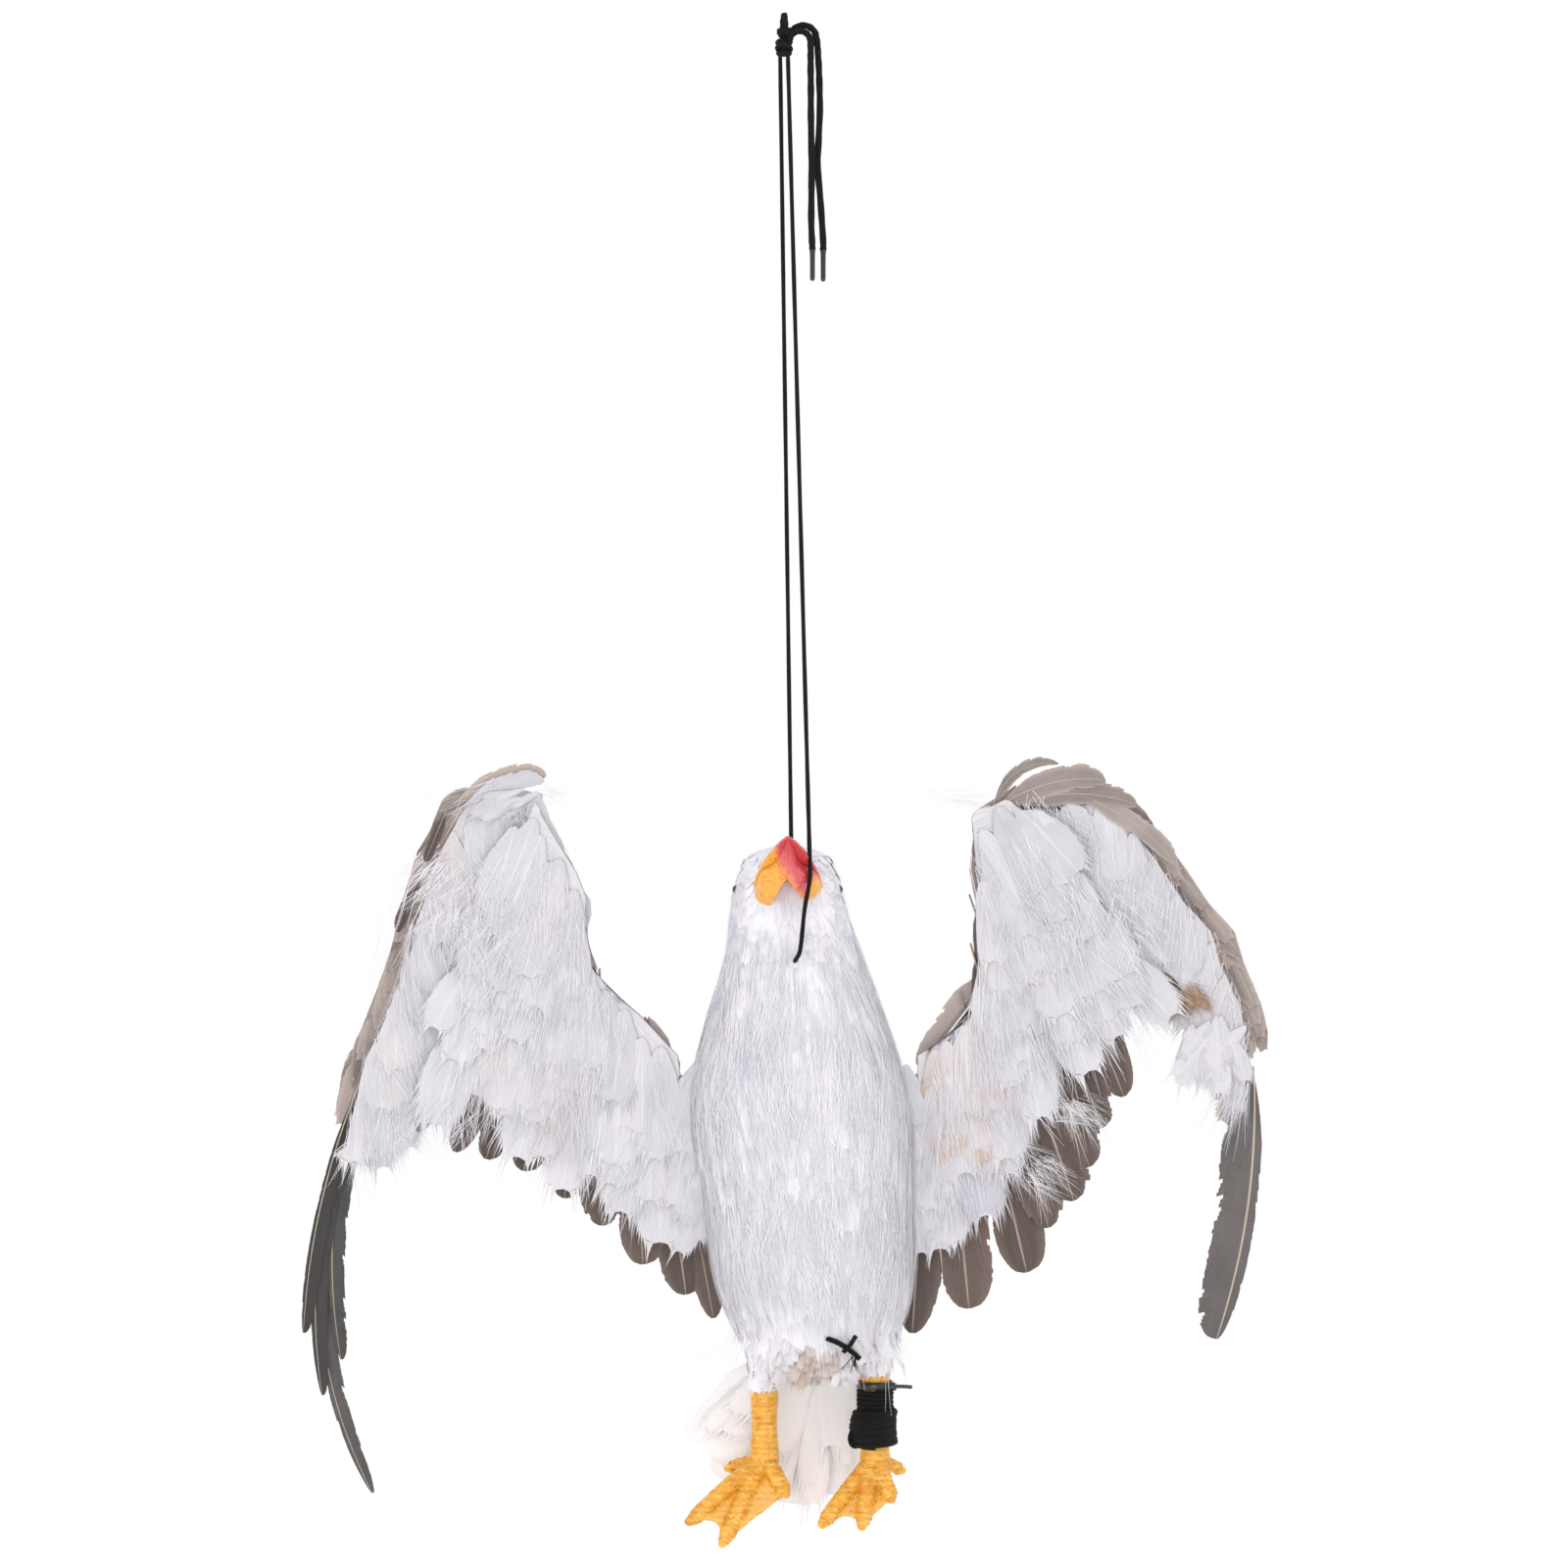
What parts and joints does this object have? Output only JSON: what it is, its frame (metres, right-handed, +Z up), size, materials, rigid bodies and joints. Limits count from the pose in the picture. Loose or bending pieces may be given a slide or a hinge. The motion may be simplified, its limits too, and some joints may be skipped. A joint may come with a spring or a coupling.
{
  "type": "bird-scaring gull decoy",
  "caption": "Hanging gull decoy with feathered body and head, posable half-spread wings, webbed feet and a black lace through its neck.",
  "frame": {"origin": "top of the lace loop, where a hook carries the decoy", "axes": "+Z up, -Y towards someone who faces the belly, +X to that person's right, which is the gull's own left side"},
  "size_m": [0.4957, 0.1071, 0.7783],
  "materials": {
    "lace": "black round-braided polyester lace",
    "aglet": "black plastic lace tip",
    "foam": "white carved foam",
    "white_feather": "soft white feather with a lilac cast",
    "brown_feather": "brown flight feather",
    "grey_feather": "grey-brown covert feather",
    "black_feather": "near-black primary with a pale shaft",
    "bill": "painted yellow moulded bill",
    "bill_red": "painted red moulded bill tip",
    "foot": "yellow-orange moulded foot with scales",
    "eye": "glossy black bead",
    "steel_wire": "plain steel wire",
    "tie_plastic": "black nylon cable tie",
    "tan_down": "soft tan down"
  },
  "bodies": {
    "hanger": {"lace_loop": "lace"},
    "collar": {"lace_knot_collar": "lace"},
    "gull": {"lace_knot": "lace", "lace_sling": "lace", "lace_free_end_a": "lace", "lace_free_end_b": "lace", "aglet_a": "aglet", "aglet_b": "aglet", "body_core": "foam", "head_core": "foam", "breast_feather_coat": "white_feather", "back_feather_coat": "white_feather", "head_feather_coat_front": "white_feather", "head_feather_coat_back": "white_feather", "upper_bill": "bill_red", "lower_bill": "bill", "right_eye": "eye", "left_eye": "eye", "tail_feather_1": "white_feather", "tail_feather_2": "white_feather", "tail_feather_3": "white_feather", "tail_feather_4": "white_feather", "tail_feather_5": "white_feather", "hip_pin": "steel_wire", "vent_tie_cord": "lace", "undertail_tuft": "tan_down"},
    "right_arm": {"right_arm_wire": "steel_wire", "right_lesser_underwing": "white_feather", "right_greater_underwing": "white_feather", "right_secondaries": "brown_feather", "right_arm_upper_coverts": "grey_feather", "right_scapular": "brown_feather"},
    "right_hand": {"right_hand_wire": "steel_wire", "right_hand_underwing": "white_feather", "right_hand_upper_coverts": "grey_feather", "right_leading_edge_coverts": "grey_feather", "right_primary_1": "black_feather", "right_primary_2": "black_feather", "right_primary_3": "black_feather", "right_primary_4": "black_feather"},
    "left_arm": {"left_arm_wire": "steel_wire", "left_lesser_underwing": "white_feather", "left_greater_underwing": "white_feather", "left_secondaries": "brown_feather", "left_arm_upper_coverts": "grey_feather", "left_scapular": "brown_feather"},
    "left_hand": {"left_hand_wire": "steel_wire", "left_hand_underwing": "white_feather", "left_hand_upper_coverts": "grey_feather", "left_leading_edge_coverts": "grey_feather", "left_primary_1": "black_feather"},
    "right_leg": {"right_thigh_tuft": "white_feather", "right_leg_wire": "steel_wire", "right_foot": "foot"},
    "left_leg": {"left_thigh_tuft": "white_feather", "left_leg_wire": "steel_wire", "left_foot": "foot", "leg_lashing": "lace", "cable_tie": "tie_plastic"}
  },
  "joints": [
    {"name": "lace_swing", "type": "hinge", "parent": "hanger", "child": "collar", "pos_m": [0, 0, -0.0062], "axis": [1, 0, 0], "range_deg": [-30, 30]},
    {"name": "lace_twist", "type": "hinge", "parent": "collar", "child": "gull", "pos_m": [0, 0, -0.0062], "axis": [0, 0, 1], "range_deg": [-180, 180], "stiffness_Nm_per_rad": 0.003},
    {"name": "right_shoulder", "type": "hinge", "parent": "gull", "child": "right_arm", "pos_m": [-0.03854, 0, -0.545], "axis": [-0.1299, 0.0001, 0.9915], "range_deg": [-25, 25]},
    {"name": "right_wrist", "type": "hinge", "parent": "right_arm", "child": "right_hand", "pos_m": [-0.13254, 0, -0.412], "axis": [0, 1, 0], "range_deg": [-15, 30]},
    {"name": "left_shoulder", "type": "hinge", "parent": "gull", "child": "left_arm", "pos_m": [0.05376, 0, -0.545], "axis": [-0.0201, 0.0001, 0.9998], "range_deg": [-25, 25]},
    {"name": "left_wrist", "type": "hinge", "parent": "left_arm", "child": "left_hand", "pos_m": [0.11776, 0, -0.408], "axis": [0, 1, 0], "range_deg": [-30, 15]},
    {"name": "right_hip", "type": "hinge", "parent": "gull", "child": "right_leg", "pos_m": [-0.01005, -0.004, -0.674], "axis": [1, 0, 0], "range_deg": [-25, 10]},
    {"name": "left_hip", "type": "hinge", "parent": "gull", "child": "left_leg", "pos_m": [0.04645, -0.004, -0.674], "axis": [1, 0, 0], "range_deg": [-25, 10]}
  ]
}
